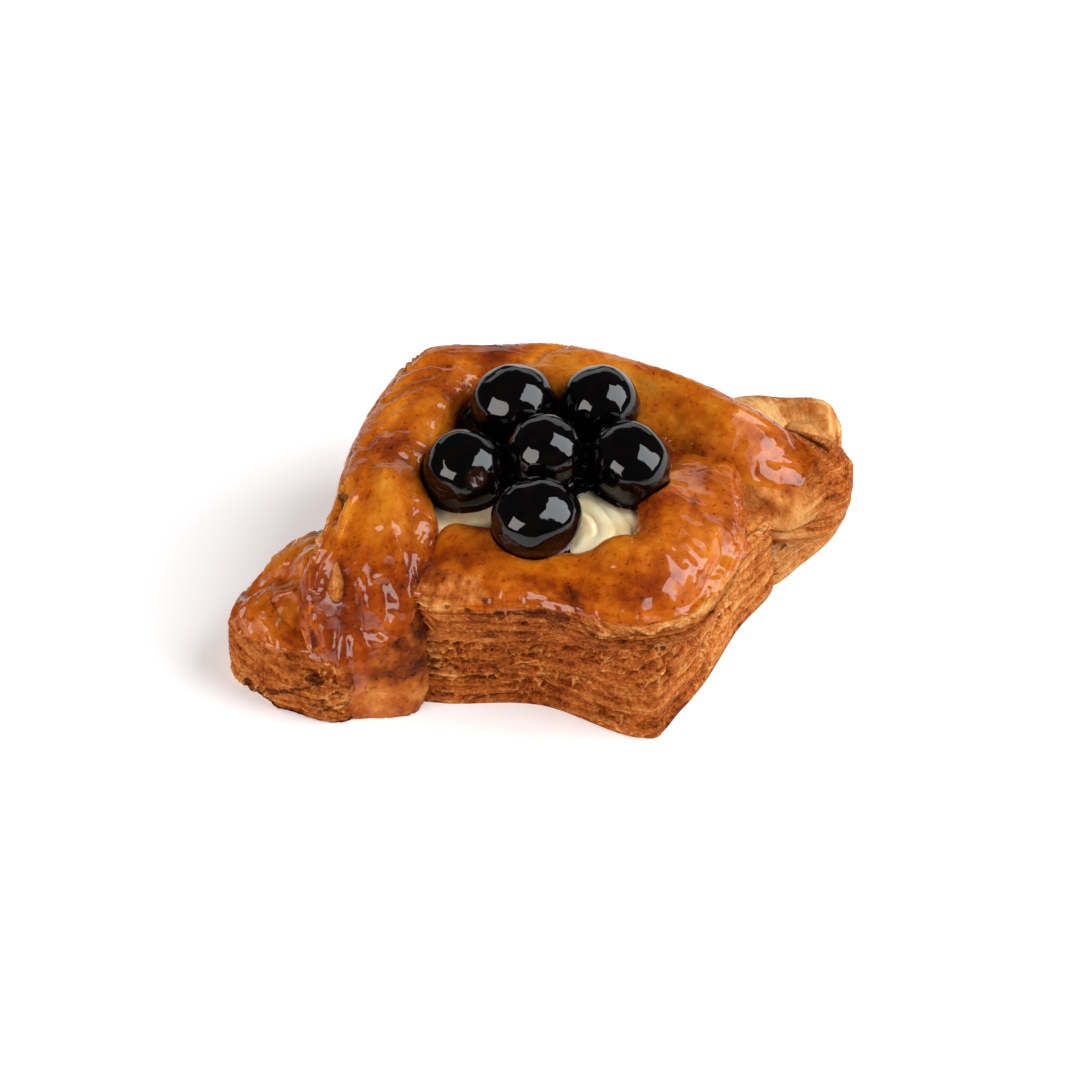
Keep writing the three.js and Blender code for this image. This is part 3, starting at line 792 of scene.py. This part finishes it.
FRONT_FOLDS = TAIL_FOLDS[:6] + [
    ([(-29, 5, 27.5), (-24.5, 1, 28.5), (-21, -2.5, 29), (-18, -6, 29.3), (-13.5, -11, 29.5),
      (-8, -15, 30)], 4.2, 2.4),
    ([(0, -25.5, 30), (6, -23.5, 30), (11, -21, 30), (16, -17, 30), (19.5, -11, 30),
      (22, -4, 30)], 4.5, 3.2),
    ([(2, -41, 30.5), (9, -42, 31), (16, -39.5, 31), (23, -34, 31), (29, -27.5, 30.5)], 4.0, -1.8),
    ([(-31.6, -18.5, 20.4), (-20, -24.6, 20.8), (-12.4, -28.6, 21.4), (-5, -37, 23)], 0.6, -0.6),
    ([(-4, -38.9, 25.4), (3, -42.8, 24.6), (8.1, -42.6, 24)], 0.5, -0.6),
]
FRONT_SCORCH = [
    ([(-29.4, -19.4, 28.3), (-27.2, -20.6, 28), (-25.4, -21.6, 27.6)], 0.6, 1.0),
    ([(-22.6, -21.4, 29), (-20.6, -22.4, 28.6)], 0.7, 0.8),
    ([(-6.8, -36.1, 26), (-3.8, -37.8, 25.6), (-0.5, -39.7, 24.5)], 0.55, 1.0),
    ([(-4, -39.4, 22.4), (2, -43, 22), (6, -43.6, 21.4)], 0.4, 0.8),
    ([(12, -40, 27), (18, -36.4, 25), (24, -31, 22.5)], 0.35, 0.6),
]
grid, along, girth, angle, cut, height = strip(FRONT_STRIP, -1)
# Its left end narrows under the back strip's leg, and its corner tilts.
tucked = 0.32 * (1 - smooth(36.5, 41, along))
grid = grid + (grid.mean(axis=1, keepdims=True) - grid) * tucked[..., None]
tilted = within(64, 76, 102, 112, along) * smooth(-0.4, 0.6, np.sin(angle))
grid[..., 2] += FRONT_TILT * np.cos(angle) * tilted
out, hollow, burn, layer_bake_and_shade = layered(along, height / LAYER, 5, 0.0)
# Glaze has covered the strip round to edge, but for a patch of crumbly torn dough.
patch = np.hypot((along - 43.5) / 6.8, (girth - 19.2) / 3.6)
patch = 1 - smooth(0.5, 1.35, patch + 0.45 * noise(along / 3, girth / 2, 5, 44))
edge = np.interp(along, [36, 49, 56, 62, 70, 77, 81, 87, 92, 99, 106, 118, 126, 131, 136],
                 [21, 23, 22.6, 21.5, 20.4, 20.4, 20.7, 21.4, 23.6, 26.5, 28.5, 30, 24, 4, -8])
ragged = 0.8 * noise(along / 4, girth / 6, 5, 45)
covered = (1 - 0.78 * patch) * smooth(-0.7, 0.7, edge - girth + ragged)
torn = 0.35 * noise(along / 1.9, girth / 1.5, 5, 46)
torn += 0.3 * noise(along / 0.8, girth / 0.8, 5, 47) - 0.45
broken = spot((along, 92, 8)) * spot((girth, 17, 4))
relief = 0.22 * broken * noise(along / 2.2, girth / 3, 5, 48)
relief += out * cut * (1 - patch) * (1 - 0.55 * covered)
relief += skin(along, girth, 5) * np.maximum(1 - cut, covered)
relief += torn * patch + folded(grid, FRONT_FOLDS)
grid = grid + outward(grid) * relief[..., None]
# A burnt line under the crest, broken up.
dark = spot((along, 65, 11), (girth - 18.4 - 0.7 * noise(along / 3, 0, 5, 52), 0, 1.8))
dark = 0.34 * dark * smooth(-0.9, 0.7, noise(along / 1.6, girth / 0.8, 5, 27))
bake = 0.57 + 0.16 * noise(along / 14, girth / 8, 5, 41) + dark
bake += 0.06 * smooth(94, 102, along) - 0.07 * spot((along, 86, 14)) + (1 - covered) * layer_bake_and_shade
bake += 0.3 * patch * np.clip(-torn - 0.45, -0.6, 0.6) - 0.22 * patch
bake -= 0.34 * smooth(122, 132, along)
dough_piece(
    "front_strip", grid, (along, girth), glaze=covered, bake=bake,
    hollow=hollow * cut * (1 - covered),
    burn=np.maximum(burn * cut * 0.7 * (1 - covered), scorched(grid, FRONT_SCORCH)),
    layers=cut * (1 - patch) + 0.35 * patch,
)

# ---------- custard ----------
# Vanilla custard piped into the well before baking. It set with soft swirl ridges, and
# where it runs up to the fruit and the dough it lies under a dark film, partly cherry
# syrup and partly painted shade.
CUSTARD = np.array([
    [-28, -4], [-16, -13], [-4, -22], [6, -26], [15, -22], [23, -10], [28, 2], [24, 14],
    [12, 24], [0, 30], [-11, 24], [-22, 10],
])
CUSTARD_LEVEL, CUSTARD_CROWN = 29, 1.8
SWIRL = 3.0  # from one piped ridge to the next


def custard_grid():
    """Rings from a floor outline up a short wall and in over the domed top to the middle,
    with swirl ridges round a point under a cherry and a small heap where they end."""
    rim = spline(CUSTARD, np.linspace(0, len(CUSTARD), 320, endpoint=False), closed=True)
    middle = CUSTARD.mean(axis=0)
    w = np.concatenate([[0.5, 0.0, 0.0], np.linspace(0.01, 0.985, 84)])[:, None, None]
    flat = middle + (rim - middle) * (1 - w)
    x, y = flat[..., 0], flat[..., 1]
    top = CUSTARD_LEVEL + CUSTARD_CROWN * (1 - (1 - w[..., 0]) ** DOMING)
    swirl = np.hypot(x - 3, y + 13) + 0.8 * noise(x / 6, y / 6, 0, 51)
    ridge = np.abs(np.sin(math.pi * swirl / SWIRL)) ** 0.55 - 0.5
    top = top + 0.6 * ridge * smooth(1, 5, x) + 0.25 * noise(x / 4, y / 4, 1, 52)
    top = top + 1.2 * spot((x, 7, 6), (y, -9, 5))
    z = np.where(np.arange(len(w))[:, None] < 2, 22.0, top)
    return np.concatenate([flat, z[..., None]], axis=-1)


def off_cherries(points, margin=0.0):
    """For each cherry, how far the points are from its skin, margin left free."""
    ways = [(points - cherry[:3]) / (cherry[3:] + margin) for cherry in CHERRIES]
    return [np.linalg.norm(way, axis=-1) * CHERRY_RADIUS - CHERRY_RADIUS for way in ways]


grid = custard_grid()
# Brown round the cherries, reaching further on the left by the leg: partly syrup stain, partly
# painted shade.
reach = 3.0 + 3.5 * smooth(6, 12, -grid[..., 0])
stain_and_shade = 1 - smooth(0.2, reach, np.min(off_cherries(grid, 0.3), axis=0))
custard = closed_piece(
    "custard_cream", beside_cherries(grid), (grid[..., 0], grid[..., 1]), {"stain_and_shade": stain_and_shade},
)


def custard_finish():
    """Set vanilla custard: ivory, wet, tinted brown round the fruit, partly where syrup runs down
    from it and partly as painted shade.
    """
    made = Finish(
        "custard", roughness=0.25, ior=1.4, subsurface_weight=0.15, subsurface_scale=0.004,
    )
    stain_and_shade = (made.kept("stain_and_shade") + (made.mottle(3.0) - 0.5) * 0.4).eased(0.25, 1.0)
    cream = made.mottle(5.0, 3.0).eased(0.35, 0.65)
    cream = made.mixed(cream, tint(248, 221, 164), tint(254, 240, 200))
    made.set("Base Color", made.mixed(stain_and_shade * 0.7, cream, tint(120, 84, 50)))
    made.set("Roughness", 0.1 + made.mottle(1.5) * 0.12)
    made.set("Normal", made.bump(made.mottle(1.2) + made.mottle(4.0) * 2, 0.12))
    return made.material


custard.data.materials.append(custard_finish())
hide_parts("custard")

# ---------- syrup ----------
# Dark syrup that ran off the cherries, partly real syrup and partly a dark sheet of
# painted shade. It fills the gaps between them and covers the cream up to the dough,
# climbs a little up each fruit in a glossy rim, and leaves the cream bare in three
# clearings.
CLEARINGS = [(8.5, -15.5, 10.5, 9.5), (-18.5, -1.5, 11, 8.5), (28.2, 1.8, 5, 6)]
pool = custard_grid()
gaps = [np.maximum(gap, 0) for gap in off_cherries(pool)]
drawn = sum(np.exp(-gap / 1.7) for gap in gaps)
uneven = 0.1 * noise(pool[..., 0] / 2, pool[..., 1] / 2, 0, 64)
clear = np.zeros(drawn.shape)
for x, y, wide, deep in CLEARINGS:
    spread = np.hypot((pool[..., 0] - x) / wide, (pool[..., 1] - y) / deep) + uneven
    clear = np.maximum(clear, 1 - smooth(0.85, 1.05, spread))
# The dark cover rises over the cream everywhere but the clearings: real syrup by the fruit,
# painted shade away from it.
syrup_and_shade_cover = np.maximum(1 - clear, smooth(0.5, 0.78, drawn))
climb = 1.6 * np.exp(-np.min(gaps, axis=0) / 0.5) * smooth(0.6, 1, drawn)
pool[..., 2] += -0.7 + 1.0 * syrup_and_shade_cover + climb
pool[:2, :, 2] = 21.0
syrup_and_painted_shade = closed_piece("syrup_and_painted_shade", pool, (pool[..., 0], pool[..., 1]), {})


def syrup_and_shade_finish():
    """Cherry syrup, also standing in as painted shade: brown black, clear and very smooth."""
    made = Finish("cherry_syrup_and_painted_shade", roughness=0.04, ior=1.45)
    depth = made.mottle(2.0).eased(0.4, 0.7)
    made.set("Base Color", made.mixed(depth, tint(10, 6, 5), tint(26, 13, 8)))
    made.set("Normal", made.bump(made.mottle(2.5), 0.1))
    return made.material


syrup_and_painted_shade.data.materials.append(syrup_and_shade_finish())

# ---------- cherries ----------
# Six pitted black cherries, nearly round and soft, brushed with clear glaze. The third
# lies with its pit hole to the front.
PIT = np.array([-0.05, -0.86, 0.5])  # the way the hole faces
RINGS, AROUND = 64, 112


def cherry_grid(cherry, seed):
    """A sphere of rings, scaled to the fruit's half sizes, with a few flat dimples."""
    lift = np.linspace(-math.pi / 2, math.pi / 2, RINGS + 2)[1:-1, None]
    spin = np.linspace(0, 2 * math.pi, AROUND, endpoint=False)[None]
    way = np.stack(np.broadcast_arrays(
        np.cos(lift) * np.cos(spin), np.cos(lift) * np.sin(spin), np.sin(lift),
    ), axis=-1)
    x, y, z = (way[..., k] * 2.2 + 5 * seed for k in range(3))
    dent = 0.2 * noise(x, y, z, 61) + 0.03 * noise(x * 2.4, y * 2.4, z * 2.4, 62)
    return way, cherry[:3] + way * (cherry[3:] + dent[..., None])


def cherry_finish():
    """Black cherry under syrup: almost black skin, wine brown where light gets in."""
    made = Finish("black_cherry", roughness=0.05, ior=1.45)
    pit = made.kept("pit")
    ripe = made.mottle(3.0, 3.0).eased(0.45, 0.8)
    ripe = made.mixed(ripe, tint(4, 3, 3), tint(12, 6, 5))
    made.set("Base Color", made.mixed(pit, ripe, tint(52, 26, 14)))
    made.set("Roughness", 0.05 + pit * 0.2)
    made.set("Normal", made.bump(made.mottle(4.5) + made.mottle(1.6) * 0.15, 0.15))
    return made.material


black_cherry = cherry_finish()
rings = np.broadcast_to(np.arange(RINGS)[:, None] * 0.4, (RINGS, AROUND))
turns = np.broadcast_to(np.linspace(0, 52, AROUND, endpoint=False)[None], (RINGS, AROUND))
for number, cherry in enumerate(CHERRIES, 1):
    way, grid = cherry_grid(cherry, number)
    pit = np.zeros(grid.shape[:2])
    if number == 3:
        off = np.linalg.norm(way - PIT / np.linalg.norm(PIT), axis=-1) * CHERRY_RADIUS
        pucker = noise(way[..., 0] * 9, way[..., 2] * 9, way[..., 1] * 9, 63)
        hole = (1 - smooth(0.3, 1.9, off)) * 1.4 + 0.25 * pucker * (1 - smooth(1.2, 3.2, off))
        grid = grid - way * hole[..., None]
        pit = 1 - smooth(0.8, 2.8, off)
    piece = closed_piece(f"black_cherry_{number}", grid, (rings, turns), {"pit": pit})
    piece.data.materials.append(black_cherry)
    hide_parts(f"cherry_{number}")

# ---------- flake ----------
# A leaf of the top skin that dried, split and stands off the leg of the back strip.
FOOT, TIP = np.array([-46.4, -6.4, 25.2]), np.array([-43.8, -1.7, 31.2])
OFF = np.array([-0.5, -0.5, 0.7])  # away from the leg
FLAKE_WIDTH = 4.0  # half the leaf's width is this times up^0.5 (1 - up)^0.9
up = np.linspace(0.02, 0.98, 36)[:, None, None]
turn = np.linspace(0, 2 * math.pi, 28, endpoint=False)[None, :, None]
sideways = np.cross(TIP - FOOT, OFF) / np.linalg.norm(np.cross(TIP - FOOT, OFF))
half = FLAKE_WIDTH * up ** 0.5 * (1 - up) ** 0.9 * (1 + 0.12 * noise(up * 9, turn, 0, 65))
across = half * np.cos(turn)
lifted = 0.5 + 1.3 * up ** 2 + 0.22 * across ** 2 + 0.1 * noise(up * 6, across, 0, 66)
lifted += 0.12 * np.sin(turn)
leaf = FOOT + up * (TIP - FOOT) + across * sideways + lifted * OFF
dough_piece(
    "leaf_flake", leaf,
    tuple(np.broadcast_to(c[..., 0], leaf.shape[:2]) for c in (up * 8, turn * 2)), glaze=0.0,
    bake=0.3 + 0.22 * np.abs(across[..., 0]), hollow=0.0,
    burn=0.5 * smooth(0.8, 1.0, np.cos(turn[..., 0])) * up[..., 0] ** 0.5, layers=1.0,
)

# ---------- table and light ----------
# A white table, a warm softbox at the left, a cooler and larger one high at the front
# right, and a white sheet behind. Above it is dark.
PASTRY_MIDDLE = np.array([0, 0, 0.02])


def softbox(name, toward, far, wide, high, radiance, colour):
    """A light of that size at that distance in that direction from the pastry, facing
    it. Its power is pi times its area times its radiance."""
    light = bpy.data.lights.new(name, "AREA")
    light.shape, light.size, light.size_y = "RECTANGLE", wide, high
    light.energy = math.pi * wide * high * radiance
    light.color = colour
    holder = bpy.data.objects.new(name, light)
    bpy.context.collection.objects.link(holder)
    way = np.array(toward) / np.linalg.norm(toward)
    holder.location = way * far + PASTRY_MIDDLE
    holder.rotation_mode = "QUATERNION"
    holder.rotation_quaternion = Vector(way).to_track_quat("Z", "Y")


softbox("softbox_left", (-0.88, -0.23, 0.46), 0.9, 0.66, 0.46, 6.5, (1.0, 0.93, 0.91))
softbox("softbox_right", (0.67, -0.39, 0.63), 0.9, 0.78, 0.92, 6.0, (0.94, 0.97, 1.0))
softbox("white_sheet", (0.42, 0.85, 0.26), 1.1, 1.8, 0.36, 0.9, (1.0, 1.0, 1.0))

world = bpy.data.worlds.new("studio")
world.use_nodes = True
world.node_tree.nodes["Background"].inputs["Color"].default_value = (0.04, 0.04, 0.042, 1)
bpy.context.scene.world = world

table_mesh = bpy.data.meshes.new("table")
table_mesh.from_pydata([(-6, -6, 0), (6, -6, 0), (6, 6, 0), (-6, 6, 0)], [], [(0, 1, 2, 3)])
table = bpy.data.objects.new("table", table_mesh)
bpy.context.collection.objects.link(table)
table_finish = Finish(
    "white_table", roughness=0.6, base_color=tint(245, 245, 245),
    emission_color=(1, 1, 1, 1), emission_strength=0.25,
)
table.data.materials.append(table_finish.material)
